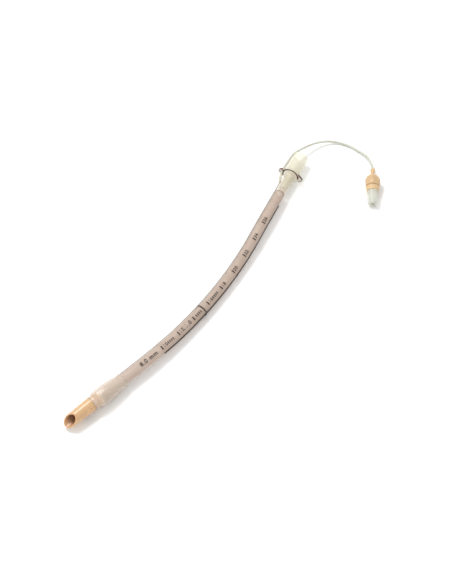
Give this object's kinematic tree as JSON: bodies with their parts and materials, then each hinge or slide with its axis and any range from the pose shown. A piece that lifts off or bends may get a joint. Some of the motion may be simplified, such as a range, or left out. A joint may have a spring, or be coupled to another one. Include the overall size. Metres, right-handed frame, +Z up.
{
  "type": "endotracheal tube",
  "caption": "Reinforced silicone breathing tube with a bevelled soft tip, a cuff, a 15 mm connector and an inflation line ending in a pilot balloon.",
  "frame": {"origin": "on the table, under the middle of the box around the tube itself, without its inflation line", "axes": "+X along the connector, away from the tube; +Z up; +Y towards the side that the bevelled end curves to"},
  "size_m": [0.3857, 0.1469, 0.017],
  "materials": {
    "tip_silicone": "satin, translucent",
    "shaft_silicone": "smooth, clear",
    "coil_wire": "bright drawn wire",
    "cuff_film": "frosted, translucent",
    "connector_plastic": "clear moulded",
    "line_silicone": "smooth, translucent",
    "balloon_silicone": "satin, translucent",
    "valve_plastic": "milky moulded",
    "valve_inner_plastic": "white moulded",
    "spring_wire": "drawn wire",
    "seal_rubber": "matt"
  },
  "bodies": {
    "tube": {"soft_tip": "tip_silicone", "shaft_tube": "shaft_silicone", "reinforcing_coil": "coil_wire", "cuff": "cuff_film", "connector": "connector_plastic", "inflation_line": "line_silicone", "pilot_balloon": "balloon_silicone", "valve_body": "valve_plastic", "valve_retainer": "valve_inner_plastic", "valve_spring": "spring_wire"},
    "plunger": {"valve_plunger": "valve_inner_plastic", "valve_seal": "seal_rubber"}
  },
  "joints": [
    {"name": "valve_press", "type": "slide", "parent": "tube", "child": "plunger", "axis": [0.9243, 0.3678, 0.1014], "range_m": [0, 0.0015], "stiffness_N_per_m": 400, "springref_m": -0.002, "deforming": ["valve_spring"]}
  ]
}
